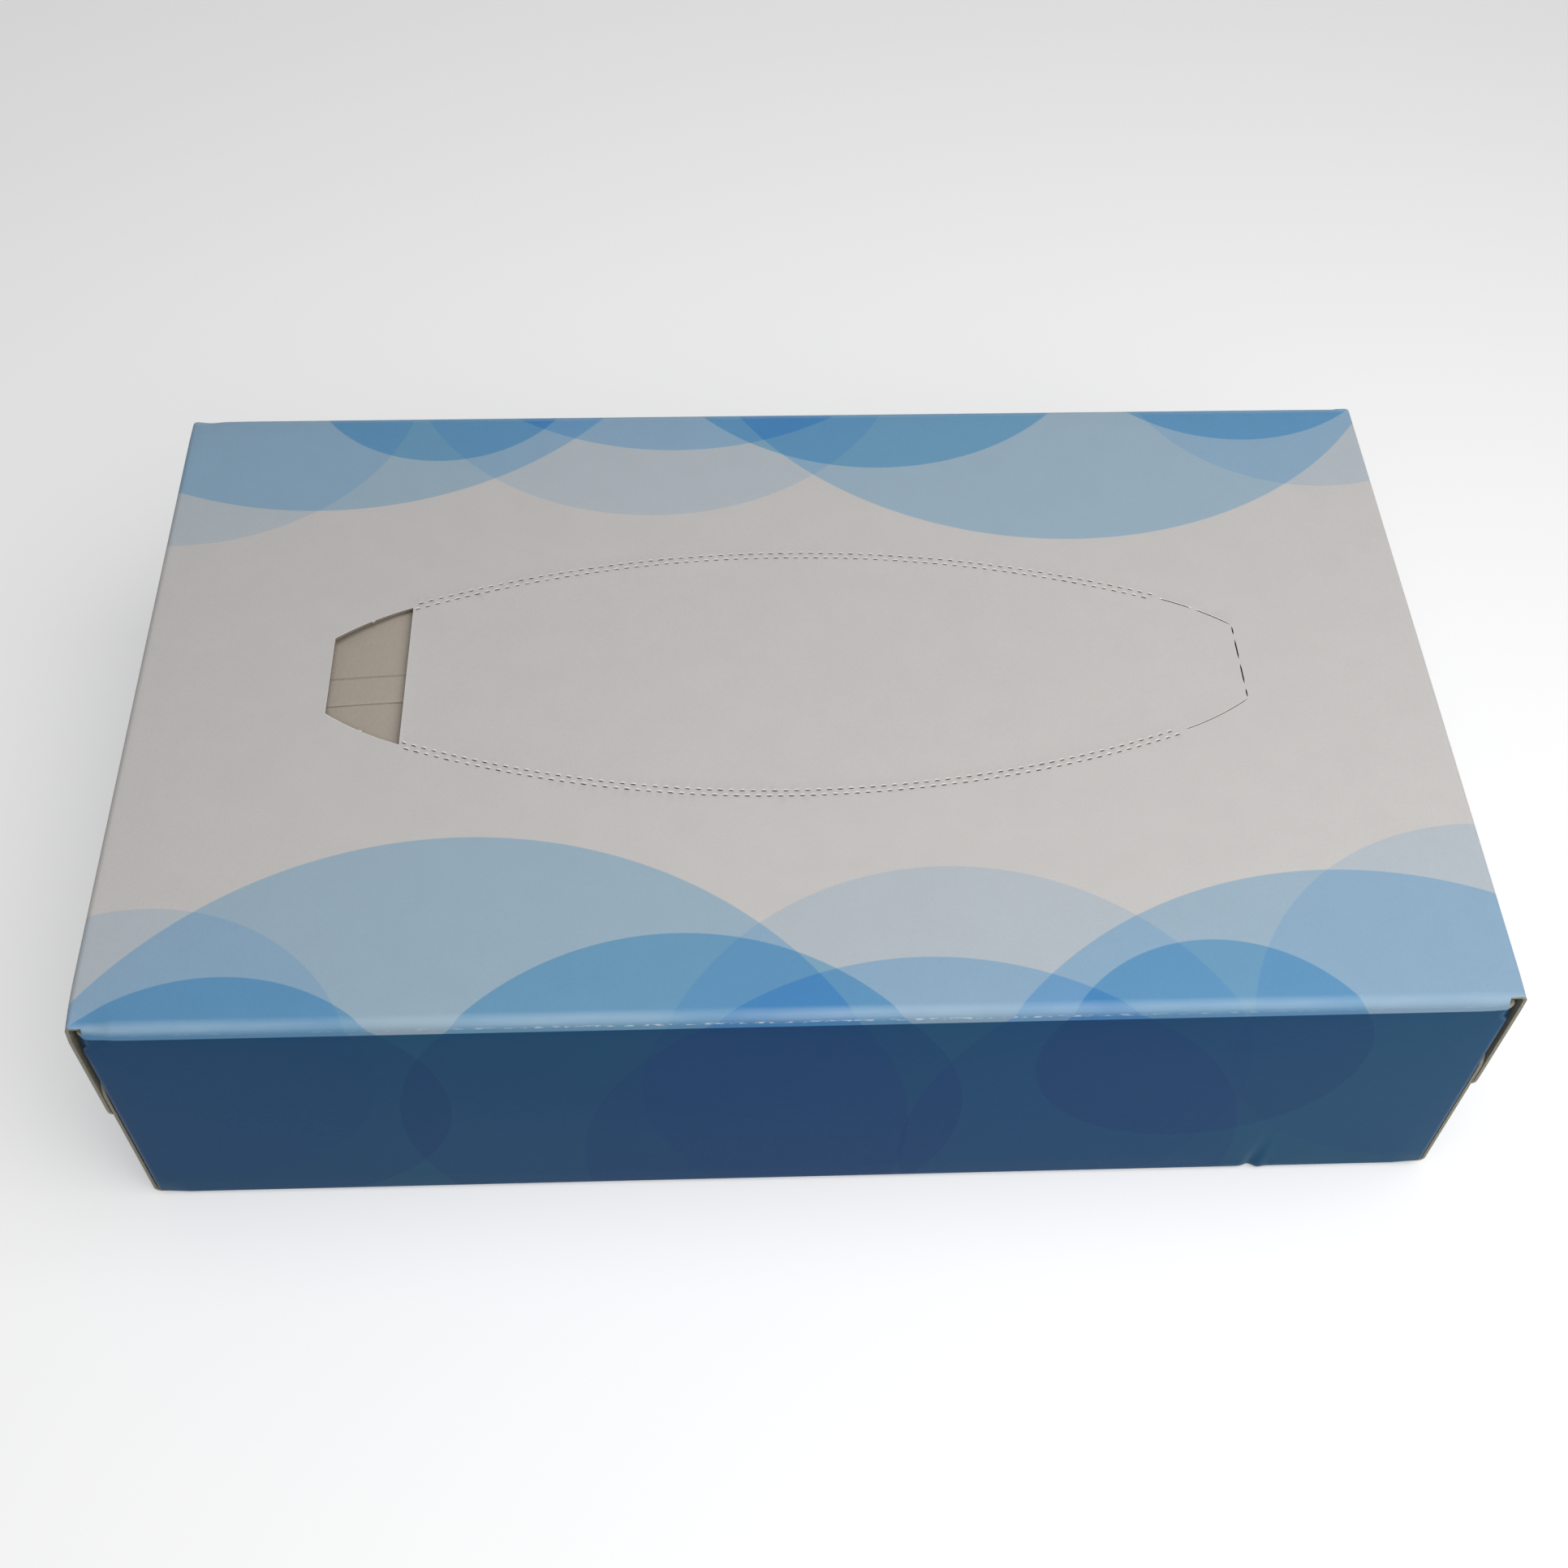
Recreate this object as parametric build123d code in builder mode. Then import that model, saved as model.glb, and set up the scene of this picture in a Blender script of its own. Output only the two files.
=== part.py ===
"""A flat tissue box, full and unopened: one sheet of paperboard, cut, folded and glued round a
pack of interfolded tissues.

Units are millimetres. X runs along the box, Y from front to back, Z up. The origin is the
centre of the underside, on the surface that the box stands on.

The carton is a single sheet. Bottom, front, top and back wrap round as a sleeve, and a glue
flap on the bottom panel closes the sleeve inside the back panel. At each end the front and
back panels turn in as dust flaps, the bottom flap closes over them, and the top flap closes
over that. The layers are held apart by the glue between them.
"""

from build123d import *

import os
from math import asin, cos, degrees, hypot, sin

# Carton, outside sizes
box_width = 210.0
box_depth = 126.0
box_height = 53.0

# Board, folds and glued layers
board = 0.5
glue_film = 0.2
long_fold_radius = 1.6  # outside radius of the four folds along X
end_fold_radius = 1.2  # outside radius of the folds at the two ends
flap_inset = 0.8  # the end flaps' sides lie this far in from the front and the back
corner_relief = 0.3  # a dust flap is cut back this much from the long folds beside it

# Flaps
top_flap = 30.0
bottom_flap = 37.0
dust_flap = 42.0
flap_corner_radius = 5.0
seam_flap = 15.0
seam_edge_lift = 0.3  # the back panel's cut edge stands this far off the floor

# Tear-out panel in the top
opening_back_shift = 2.2
opening_half_length = 74.0
opening_half_width = 25.3  # to the middle of the two rows of slits
opening_end_half = 7.9  # half of the short straight end
tear_half_length = 61.8  # the rows of slits reach this far to each side
tear_end_half = 14.4  # half of the opening's width there
end_curve_bulge = 0.5  # how far the four end cuts bow outwards
slit_length = 0.8
slit_width = 0.25
slit_pitch = 1.7
row_spacing = 1.0
first_cut_gap = 1.0  # uncut board between the rows and the plain cuts
nick = 0.9  # uncut board in the plain cuts
nick_stub = 0.6  # what is left of a nick on the edge of the finger hole

# Tissues
end_room = 1.6  # between the pack and the dust flaps
side_room = 5.5  # between the pack and the front and back panels
pack_edge_radius = 1.5
tissue = 0.2  # two plies
hem_depth = 5.7  # the first tissue's leading edge is turned back this far
hem_height = 0.5  # over the two layers of the turned edge
hem_edge = 0.1  # the turned edge lies this far behind the middle of the opening
headroom = 0.6  # from the first tissue to the underside of the top

# Glue
bead_width = 3.0
seam_bead_inset = 6.0
end_bead_length = 11.0
end_bead_places = (-42.0, -28.0, 28.0, 42.0)  # across the end, under the top flap
dust_bead_places = (-34.0, 34.0)  # across the end, under the bottom flap

middle = board / 2  # the board's middle surface, under its outside face
layer = board + glue_film
half_depth = box_depth / 2
top_end = box_width / 2  # outside faces of the end layers, from the middle of the box
bottom_end = top_end - layer
dust_end = bottom_end - layer
sleeve_half = dust_end - end_fold_radius
seam_flap_face = half_depth - layer
flap_half = half_depth - flap_inset
top_inside = box_height - board
sheet_width = 2 * (dust_end - board - end_room)
pack_depth = 2 * (half_depth - board - side_room)

os.makedirs("parts", exist_ok=True)


def tear_arc():
    """Centre's y and radius of the long arc, measured from the middle of the opening."""
    rise = opening_half_width - tear_end_half
    radius = (tear_half_length**2 + rise**2) / (2 * rise)
    return opening_half_width - radius, radius


def end_curve_middle(side, end):
    """Middle point of one of the four end cuts, from the tear rows to the short end."""
    start = (tear_half_length, tear_end_half)
    stop = (opening_half_length, opening_end_half)
    run, drop = stop[0] - start[0], stop[1] - start[1]
    length = hypot(run, drop)
    x = (start[0] + stop[0]) / 2 - end_curve_bulge * drop / length
    y = (start[1] + stop[1]) / 2 + end_curve_bulge * run / length
    return end * x, side * y


def slit_places():
    """Where each slit of the two staggered rows lies, along both long arcs."""
    centre, radius = tear_arc()
    half_angle = asin(tear_half_length / radius)
    count = int(2 * half_angle * radius / slit_pitch)
    places = []
    for side in (-1, 1):
        for row in (-0.5, 0.5):
            distance = radius + row * row_spacing
            for number in range(count):
                along = (number + 0.5 + row / 2 - count / 2) * slit_pitch
                angle = along / radius
                x = distance * sin(angle)
                y = side * (centre + distance * cos(angle))
                places.append(Location((x, y, 0), (0, 0, -side * degrees(angle))))
    return places


# ---------------------------------------------------------------- carton
top_plane = Plane((0, opening_back_shift, box_height))

with BuildPart() as carton:
    with BuildSketch(Plane.YZ):
        with BuildLine():
            FilletPolyline(
                (seam_flap_face - middle, seam_flap),
                (seam_flap_face - middle, middle),
                (middle - half_depth, middle),
                (middle - half_depth, box_height - middle),
                (half_depth - middle, box_height - middle),
                (half_depth - middle, seam_edge_lift),
                radius=long_fold_radius - middle,
            )
        trace(line_width=board)
    extrude(amount=sleeve_half, both=True)

    # Bottom and top flaps. Each carries its own panel on past the sleeve, then turns down or up.
    for end in (-1, 1):
        for side, face, level, length in (
            (-1, bottom_end, 0, bottom_flap),
            (1, top_end, box_height, top_flap),
        ):
            with BuildSketch(Plane.XZ):
                with BuildLine():
                    FilletPolyline(
                        (end * (sleeve_half - board), level - side * middle),
                        (end * (face - middle), level - side * middle),
                        (end * (face - middle), level - side * length),
                        radius=end_fold_radius - middle,
                    )
                trace(line_width=board)
            extrude(amount=flap_half, both=True)
            tips = edges(Select.LAST).filter_by(Axis.X).sort_by(Axis.Z, reverse=side < 0)
            fillet(tips[:2], flap_corner_radius)

    # Dust flaps, from the front and back panels.
    dust_bottom = long_fold_radius + corner_relief
    for end in (-1, 1):
        for side in (-1, 1):
            with BuildSketch(Plane.XY.offset(dust_bottom)):
                with BuildLine():
                    FilletPolyline(
                        (end * (sleeve_half - board), side * (half_depth - middle)),
                        (end * (dust_end - middle), side * (half_depth - middle)),
                        (end * (dust_end - middle), side * (half_depth - dust_flap)),
                        radius=end_fold_radius - middle,
                    )
                trace(line_width=board)
            extrude(amount=box_height - 2 * dust_bottom)
            tips = edges(Select.LAST).filter_by(Axis.X).sort_by(Axis.Y, reverse=side < 0)
            fillet(tips[:2], flap_corner_radius)

    # Finger hole at the left end, with the stubs of its two nicks.
    with BuildSketch(top_plane):
        with BuildLine():
            for side in (-1, 1):
                ThreePointArc(
                    (-opening_half_length, side * opening_end_half),
                    end_curve_middle(side, -1),
                    (-tear_half_length, side * tear_end_half),
                )
            for x, y in (
                (-opening_half_length, opening_end_half),
                (-tear_half_length, tear_end_half),
            ):
                Line((x, -y), (x, y))
        make_face()
        with Locations(end_curve_middle(-1, -1), end_curve_middle(1, -1)):
            Circle(nick_stub, mode=Mode.SUBTRACT)
    extrude(amount=-board, mode=Mode.SUBTRACT)

    # The two staggered rows of slits.
    with BuildSketch(top_plane):
        with Locations(*slit_places()):
            Rectangle(slit_length, slit_width)
    extrude(amount=-board, mode=Mode.SUBTRACT)

    # Plain cuts round the right end, with nicks left in them.
    with BuildSketch(top_plane):
        with BuildLine():
            for side in (-1, 1):
                ThreePointArc(
                    (tear_half_length, side * tear_end_half),
                    end_curve_middle(side, 1),
                    (opening_half_length, side * opening_end_half),
                )
            Line(
                (opening_half_length, -opening_end_half),
                (opening_half_length, opening_end_half),
            )
        trace(line_width=slit_width)
        nick_places = [(tear_half_length, side * tear_end_half) for side in (-1, 1)]
        nick_places.append(end_curve_middle(1, 1))
        with Locations(*nick_places):
            Circle(first_cut_gap / 2, mode=Mode.SUBTRACT)
        with Locations((opening_half_length, 0)):
            with GridLocations(0, opening_end_half * 2 / 3, 1, 3):
                Rectangle(nick, nick, mode=Mode.SUBTRACT)
    extrude(amount=-board, mode=Mode.SUBTRACT)

carton.part.label = "carton"
export_step(carton.part, "parts/carton.step")

# ---------------------------------------------------------------- tissue pack
pack_top = top_inside - headroom - hem_height

with BuildPart() as tissue_pack:
    with Locations((0, 0, board)):
        Box(
            sheet_width,
            pack_depth,
            pack_top - board,
            align=(Align.CENTER, Align.CENTER, Align.MIN),
        )
    fillet(tissue_pack.edges().filter_by(Axis.X), pack_edge_radius)

tissue_pack.part.label = "tissue_pack"
export_step(tissue_pack.part, "parts/tissue_pack.step")

# ---------------------------------------------------------------- first tissue
hem_back = opening_back_shift + hem_edge
hem_front = hem_back - hem_depth

with BuildPart() as first_tissue:
    with BuildSketch(Plane.YZ):
        with BuildLine():
            FilletPolyline(
                (pack_depth / 2 - pack_edge_radius, pack_top + tissue / 2),
                (hem_front, pack_top + tissue / 2),
                (hem_front, pack_top + hem_height - tissue / 2),
                (hem_back, pack_top + hem_height - tissue / 2),
                radius=(hem_height - tissue) / 2 - 0.01,
            )
        trace(line_width=tissue)
    extrude(amount=sheet_width / 2, both=True)

first_tissue.part.label = "first_tissue"
export_step(first_tissue.part, "parts/first_tissue.step")

# ---------------------------------------------------------------- glue
with BuildPart() as seam_glue:
    with Locations((0, seam_flap_face, seam_flap - seam_bead_inset)):
        Box(
            2 * (sleeve_half - bead_width),
            glue_film,
            bead_width,
            align=(Align.CENTER, Align.MIN, Align.CENTER),
        )

seam_glue.part.label = "seam_glue"
export_step(seam_glue.part, "parts/seam_glue.step")

lap_middle = (bottom_flap + box_height - top_flap) / 2
dust_bead_middle = bottom_flap / 2

for name, end in (("left_end_glue", -1), ("right_end_glue", 1)):
    with BuildPart() as end_glue:
        with Locations(*[(end * bottom_end, y, lap_middle) for y in end_bead_places]):
            Box(
                glue_film,
                bead_width,
                end_bead_length,
                align=(Align.MIN if end > 0 else Align.MAX, Align.CENTER, Align.CENTER),
            )
        with Locations(*[(end * dust_end, y, dust_bead_middle) for y in dust_bead_places]):
            Box(
                glue_film,
                bead_width,
                end_bead_length,
                align=(Align.MIN if end > 0 else Align.MAX, Align.CENTER, Align.CENTER),
            )
    end_glue.part.label = name
    export_step(end_glue.part, f"parts/{name}.step")
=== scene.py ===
import math

import bpy
import numpy as np
from mathutils import Matrix, Vector, noise
from mathutils.geometry import delaunay_2d_cdt


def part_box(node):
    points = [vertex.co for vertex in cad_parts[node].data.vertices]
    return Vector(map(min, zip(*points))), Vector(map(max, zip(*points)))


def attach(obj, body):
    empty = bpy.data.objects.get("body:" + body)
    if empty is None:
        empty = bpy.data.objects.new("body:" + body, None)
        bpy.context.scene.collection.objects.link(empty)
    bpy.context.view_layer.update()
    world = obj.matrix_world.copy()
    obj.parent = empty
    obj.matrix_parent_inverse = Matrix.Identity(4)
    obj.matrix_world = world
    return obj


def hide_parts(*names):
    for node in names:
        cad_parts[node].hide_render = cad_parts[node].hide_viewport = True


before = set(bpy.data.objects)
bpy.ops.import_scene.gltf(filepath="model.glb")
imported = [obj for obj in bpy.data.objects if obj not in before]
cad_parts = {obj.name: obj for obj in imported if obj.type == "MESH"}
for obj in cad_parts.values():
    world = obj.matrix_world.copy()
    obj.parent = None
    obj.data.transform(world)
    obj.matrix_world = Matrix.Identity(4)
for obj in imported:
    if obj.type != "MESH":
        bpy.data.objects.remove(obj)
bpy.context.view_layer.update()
mm = 0.001


def boxOf(node):
    # a node's lowest and highest corners, in mm
    low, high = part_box(node)
    return Vector(low) / mm, Vector(high) / mm


cartonLow, cartonHigh = boxOf("carton")
packLow, packHigh = boxOf("tissue_pack")
firstLow, firstHigh = boxOf("first_tissue")


# node helpers, shared by every material
def newMaterial(name):
    material = bpy.data.materials.new(name)
    material.use_nodes = True
    nodes = material.node_tree.nodes
    nodes.clear()
    shader = nodes.new("ShaderNodeBsdfPrincipled")
    output = nodes.new("ShaderNodeOutputMaterial")
    material.node_tree.links.new(shader.outputs[0], output.inputs[0])
    return material, shader


def plug(tree, target, value):
    # a link if value is a socket, else the socket's own number or colour
    if isinstance(value, bpy.types.NodeSocket):
        tree.links.new(value, target)
    elif isinstance(value, tuple) and len(value) == 3 and target.type == "RGBA":
        target.default_value = (*value, 1)
    else:
        target.default_value = value


def maths(tree, how, first, second=0.0):
    node = tree.nodes.new("ShaderNodeMath")
    node.operation = how
    for socket, value in zip(node.inputs, (first, second)):
        plug(tree, socket, value)
    return node.outputs[0]


def mixColours(tree, how, factor, first, second):
    node = tree.nodes.new("ShaderNodeMix")
    node.data_type = "RGBA"
    node.blend_type = how
    for name, value in (("Factor_Float", factor), ("A_Color", first), ("B_Color", second)):
        plug(tree, next(s for s in node.inputs if s.identifier == name), value)
    return next(s for s in node.outputs if s.identifier == "Result_Color")


def placeInMm(tree):
    # the object's own coordinates, counted in mm
    place = tree.nodes.new("ShaderNodeTexCoord")
    scaled = tree.nodes.new("ShaderNodeVectorMath")
    scaled.operation = "SCALE"
    scaled.inputs["Scale"].default_value = 1 / mm
    tree.links.new(place.outputs["Object"], scaled.inputs[0])
    return scaled.outputs[0]


def alongX(tree, vector):
    node = tree.nodes.new("ShaderNodeSeparateXYZ")
    tree.links.new(vector, node.inputs[0])
    return node.outputs[0]


def stretched(tree, vector, by):
    node = tree.nodes.new("ShaderNodeVectorMath")
    node.operation = "MULTIPLY"
    tree.links.new(vector, node.inputs[0])
    node.inputs[1].default_value = by
    return node.outputs[0]


def noiseAt(tree, vector, size, detail=3.0, roughness=0.5):
    # soft noise from 0 to 1 whose lumps are about size mm across
    node = tree.nodes.new("ShaderNodeTexNoise")
    tree.links.new(vector, node.inputs["Vector"])
    node.inputs["Scale"].default_value = 1 / size
    node.inputs["Detail"].default_value = detail
    node.inputs["Roughness"].default_value = roughness
    return node.outputs["Fac"]


def spread(tree, value, low, high, newLow, newHigh):
    node = tree.nodes.new("ShaderNodeMapRange")
    for socket, number in zip(node.inputs, (value, low, high, newLow, newHigh)):
        plug(tree, socket, number)
    return node.outputs[0]


def bumped(tree, height, depth):
    # depth in mm is what a height of 1 stands proud
    node = tree.nodes.new("ShaderNodeBump")
    node.inputs["Strength"].default_value = 1.0
    node.inputs["Distance"].default_value = depth * mm
    tree.links.new(height, node.inputs["Height"])
    return node.outputs[0]


# the carton: a flat blank, cut, then folded up
carton = {
    "board": 0.5,
    "glueFilm": 0.2,
    "longFold": 1.6,  # outside radius of the four folds along the box
    "endFold": 1.2,
    "flapInset": 0.8,
    "relief": 0.3,
    "topFlap": 30.0,
    "bottomFlap": 37.0,
    "dustFlap": 42.0,
    "flapCorner": 5.0,
    "seamFlap": 15.0,
    "seamLift": 0.3,
    "openingBack": 2.2,  # the opening's middle, behind the middle of the top
    "openingHalfLength": 74.0,
    "openingHalfWidth": 25.3,
    "openingEndHalf": 7.9,
    "tearHalfLength": 61.8,
    "tearEndHalf": 14.4,
    "endBulge": 0.5,
    "slitLength": 0.95,
    "slitWidthFront": 0.12,
    "slitWidthBack": 0.085,
    "slitPitch": 1.7,
    "rowSpacing": 1.0,
    "firstCutGap": 1.0,
    "nick": 0.9,
    "grid": 4.0,  # mesh size on the flat
    "bendSteps": 8,
    "cornerEase": 1.5,
    "lipUp": 0.10,  # a slit's far lip stands proud; its white is partly cracked coating and partly a painted highlight
    "lipDown": 0.06,  # and its near lip has sunk
    "lipReach": 0.42,
    "nearReach": 0.12,
    "ringEnds": 0.12,
    "cutRing": 0.28,
    "backCut": 0.12,  # widths of the plain cuts, back, front and end
    "frontCut": 0.13,
    "endCut": 0.24,
    "topSag": 0.30,
    "sideBulge": 0.25,
    "panelSag": 0.12,  # the tear-out panel lies under the rest of the top
    "tuckIn": 0.35,  # the dust flaps' tips lean inwards
    "dentPlace": 74.5,
    "dentDepth": 0.45,
    "dentHeight": 6.0,
}
half = carton["board"] / 2
bendRadius = carton["longFold"] - half
endRadius = carton["endFold"] - half
layer = carton["board"] + carton["glueFilm"]
topEnd = cartonHigh.x
bottomEnd = topEnd - layer
dustEnd = bottomEnd - layer
sleeveHalf = dustEnd - carton["endFold"]
halfDepth = cartonHigh.y
boxHeight = cartonHigh.z
seamFace = halfDepth - layer
flapHalf = halfDepth - carton["flapInset"]


def sleevePath():
    # straight runs and quarter bends of the board's middle, glue flap to back panel
    corners = [
        Vector((seamFace - half, carton["seamFlap"])),
        Vector((seamFace - half, half)),
        Vector((half - halfDepth, half)),
        Vector((half - halfDepth, boxHeight - half)),
        Vector((halfDepth - half, boxHeight - half)),
        Vector((halfDepth - half, carton["seamLift"])),
    ]
    pieces = []
    names = ["seam", "bottom", "front", "top", "back"]
    start, along = corners[0], 0.0
    for number, name in enumerate(names):
        way = (corners[number + 1] - corners[number]).normalized()
        last = number == len(names) - 1
        stop = corners[number + 1] if last else corners[number + 1] - way * bendRadius
        length = (stop - start).length
        pieces.append((name, along, length, start, way))
        along += length
        if not last:
            pieces.append(("bend", along, bendRadius * math.pi / 2, stop, way))
            along += bendRadius * math.pi / 2
            nextWay = (corners[number + 2] - corners[number + 1]).normalized()
            start = corners[number + 1] + nextWay * bendRadius
    return pieces, along


path, blankHeight = sleevePath()
panels = {piece[0]: piece for piece in path if piece[0] != "bend"}
# how far each panel runs on past the sleeve before its own end fold
flapLead = {
    "top": topEnd - carton["endFold"] - sleeveHalf,
    "bottom": bottomEnd - carton["endFold"] - sleeveHalf,
    "front": 0.0,
    "back": 0.0,
}
flapDrop = {
    "top": carton["topFlap"] - carton["endFold"],
    "bottom": carton["bottomFlap"] - carton["endFold"],
    "front": carton["dustFlap"] - carton["endFold"],
    "back": carton["dustFlap"] - carton["endFold"],
}
foldRun = endRadius * math.pi / 2


def blankY(y):
    # where a point of the top panel lies along the blank
    return panels["top"][1] + y - panels["top"][3].x


def blankBottomY(y):
    return panels["bottom"][1] + panels["bottom"][3].x - y


def blankFrontZ(z):
    return panels["front"][1] + z - panels["front"][3].y


def blankBackZ(z):
    return panels["back"][1] + panels["back"][3].y - z


# the two ends of each flap, along the blank
dustLow = carton["longFold"] + carton["relief"]
dustHigh = boxHeight - dustLow
flapSpans = {
    "bottom": (blankBottomY(flapHalf), blankBottomY(-flapHalf)),
    "front": (blankFrontZ(dustLow), blankFrontZ(dustHigh)),
    "top": (blankY(-flapHalf), blankY(flapHalf)),
    "back": (blankBackZ(dustHigh), blankBackZ(dustLow)),
}
flapReach = {name: flapLead[name] + foldRun + flapDrop[name] for name in flapSpans}
openingMiddle = blankY(carton["openingBack"])


def smooth(share):
    share = min(1.0, max(0.0, share))
    return share * share * (3 - 2 * share)


def pieceAt(v):
    for piece in path:
        if v <= piece[1] + piece[2]:
            return piece
    return path[-1]


def unevenness(u, v, name, start, length):
    # how far a flat panel stands off its plane, in mm, outwards
    if name in ("bend", "seam"):
        return 0.0
    across = 2 * (v - start) / length - 1
    along = u / sleeveHalf
    window = max(0.0, 1 - across**2) * max(0.0, 1 - along**2)
    ripple = noise.noise(Vector((u / 45, v / 30, 3.1))) * 0.5
    ripple += noise.noise(Vector((u / 16, v / 14, 8.7))) * 0.12
    if name == "top":
        return window * (-carton["topSag"] + 0.35 * ripple)
    if name == "bottom":
        return window * (-0.35 + 0.3 * ripple)
    return window * (carton["sideBulge"] + 0.45 * ripple)


def flapLean(u, name):
    # the dust flaps lean in towards the tissues; the outer flaps are glued flat
    if name in ("top", "bottom"):
        return 0.0
    past = abs(u) - sleeveHalf - flapLead[name] - foldRun
    return -carton["tuckIn"] * max(0.0, past / flapDrop[name]) ** 2


def dent(u, v):
    # a pinch in the lower edge of the front, pressed in from below
    z = v - blankFrontZ(carton["longFold"])
    below = math.exp(-((max(0.0, z) / carton["dentHeight"]) ** 2)) * math.exp(-((min(0.0, z) / 2.2) ** 2))
    side = (u - carton["dentPlace"] - 0.06 * z) / 0.9
    ridge = math.exp(-(side**2)) - 0.45 * math.exp(-((side - 1.7) ** 2))
    return -carton["dentDepth"] * below * ridge


def cornerKnock(u, v):
    # three corners of the top have been knocked soft
    knock = 0.0
    for cornerU, cornerV, depth, size in (
        (-sleeveHalf, blankY(-halfDepth) + 1.0, 0.55, 3.2),
        (sleeveHalf, blankY(-halfDepth) + 1.0, 0.3, 2.6),
        (-sleeveHalf, blankY(halfDepth) - 1.0, 0.25, 2.6),
    ):
        distance = math.hypot(u - cornerU, v - cornerV) / size
        knock -= depth * math.exp(-(distance**2)) * (1 + 0.6 * noise.noise(Vector((u, v, 0)) * 0.9))
    return knock


def folded(u, v, lift):
    # the point of the folded board over a point of the flat blank, in mm
    name, begin, length, start, way = pieceAt(v)
    out2 = Vector((-way.y, way.x))
    if name == "bend":
        turn = (v - begin) / bendRadius
        spot = start + way * bendRadius * math.sin(turn) - out2 * bendRadius * (1 - math.cos(turn))
        out2 = out2 * math.cos(turn) + way * math.sin(turn)
    else:
        spot = start + way * (v - begin)
    out = Vector((0, *out2))
    place = Vector((u, *spot))
    lift += unevenness(u, v, name, begin, length) + cornerKnock(u, v)
    if abs(v - panels["front"][1]) < 30:
        lift += dent(u, v)
    past = abs(u) - sleeveHalf
    if name == "bend" and past > -carton["cornerEase"]:
        # a flap's side lies flat, so the long fold opens out towards it
        for flap, (low, high) in flapSpans.items():
            if low - 0.01 <= v <= high + 0.01:
                name = flap
        if name != "bend":
            _, flatBegin, flatLength, flatStart, flatWay = panels[name]
            beyond = max(flatBegin - v, v - flatBegin - flatLength) / (bendRadius * math.pi / 2)
            onFlap = smooth(past / max(flapLead[name], 0.4))
            ease = smooth(1 + past / carton["cornerEase"]) * (1 - beyond * (1 - onFlap))
            flatSpot = flatStart + flatWay * (v - flatBegin)
            flatOut = Vector((0, -flatWay.y, flatWay.x))
            place = place.lerp(Vector((u, *flatSpot)), ease)
            out = out.lerp(flatOut, ease).normalized()
    if past > 0 and name in flapLead:
        end = Vector((math.copysign(1, u), 0, 0))
        bend = past - flapLead[name]
        place.x = end.x * sleeveHalf
        if bend <= 0:
            place += end * past
        else:
            turn = min(bend / endRadius, math.pi / 2)
            drop = max(bend - foldRun, 0)
            place += end * (flapLead[name] + endRadius * math.sin(turn))
            place -= out * (endRadius * (1 - math.cos(turn)) + drop)
            out = out * math.cos(turn) + end * math.sin(turn)
            if drop > 0:
                lift += flapLean(u, name)
    return place + out * lift


# everything below is drawn on the flat blank, as closed outlines in mm
def tearArc():
    rise = carton["openingHalfWidth"] - carton["tearEndHalf"]
    radius = (carton["tearHalfLength"] ** 2 + rise**2) / (2 * rise)
    return carton["openingHalfWidth"] - radius, radius


tearCentre, tearRadius = tearArc()


def endCurve(end, side, steps=8):
    # one of the four end cuts, from the rows of slits to the short end, about the opening's middle
    start = Vector((carton["tearHalfLength"], carton["tearEndHalf"]))
    stop = Vector((carton["openingHalfLength"], carton["openingEndHalf"]))
    run = stop - start
    out = Vector((-run.y, run.x)).normalized()
    points = []
    for number in range(steps + 1):
        share = number / steps
        point = start + run * share + out * carton["endBulge"] * 4 * share * (1 - share)
        points.append(Vector((end * point.x, side * point.y)))
    return points


def blankOutline():
    right = []
    for name in ("bottom", "front", "top", "back"):
        low, high = flapSpans[name]
        tip = sleeveHalf + flapReach[name]
        corner = carton["flapCorner"]
        right.append((sleeveHalf, low))
        for middle, first in ((low + corner, -90), (high - corner, 0)):
            for step in range(7):
                angle = math.radians(first + 15 * step)
                right.append((tip - corner + corner * math.cos(angle), middle + corner * math.sin(angle)))
        right.append((sleeveHalf, high))
    right = [(sleeveHalf, 0.0)] + right + [(sleeveHalf, blankHeight)]
    left = [(-u, v) for u, v in reversed(right)]
    return right + left


# the torn stub on each slanting side of the finger hole: place along the side, and depth
stub = ((-0.45, 0.0), (-0.22, 0.16), (0.05, 0.24), (0.25, 0.14), (0.4, 0.0))


def fingerHole():
    upper, lower = endCurve(-1, 1), endCurve(-1, -1)
    outline = []
    for curve, side in ((upper, 1), (list(reversed(lower)), -1)):
        middle = curve[len(curve) // 2]
        for point in curve:
            if (point - middle).length < 0.01:
                run = (curve[-1] - curve[0]).normalized()
                for offset, depth in stub:
                    outline.append(point + run * offset + Vector((0.4, -side)).normalized() * depth)
            else:
                outline.append(point)
    return [Vector((p.x, p.y + openingMiddle)) for p in outline]


# a slit's eight points, as shares of its half length and half width
slitShape = ((-1, 0), (-0.6, -0.8), (0, -1), (0.6, -0.8), (1, 0), (0.6, 0.8), (0, 1), (-0.6, 0.8))


def slitAt(middle, angle, width, wobble):
    # a slit's rim and a ring round it; the ring stays level
    way = Vector((math.cos(angle), math.sin(angle)))
    across = Vector((-way.y, way.x))
    longHalf = carton["slitLength"] / 2 * (1 + 0.15 * wobble)
    longReach = longHalf + carton["ringEnds"]
    rim, ring = [], []
    for share, wide in slitShape:
        rim.append(middle + way * longHalf * share + across * width / 2 * wide)
        reach = carton["lipReach" if wide > 0 else "nearReach"]
        ring.append(middle + way * longReach * share + across * (width / 2 + reach) * wide)
    return rim, ring


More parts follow.
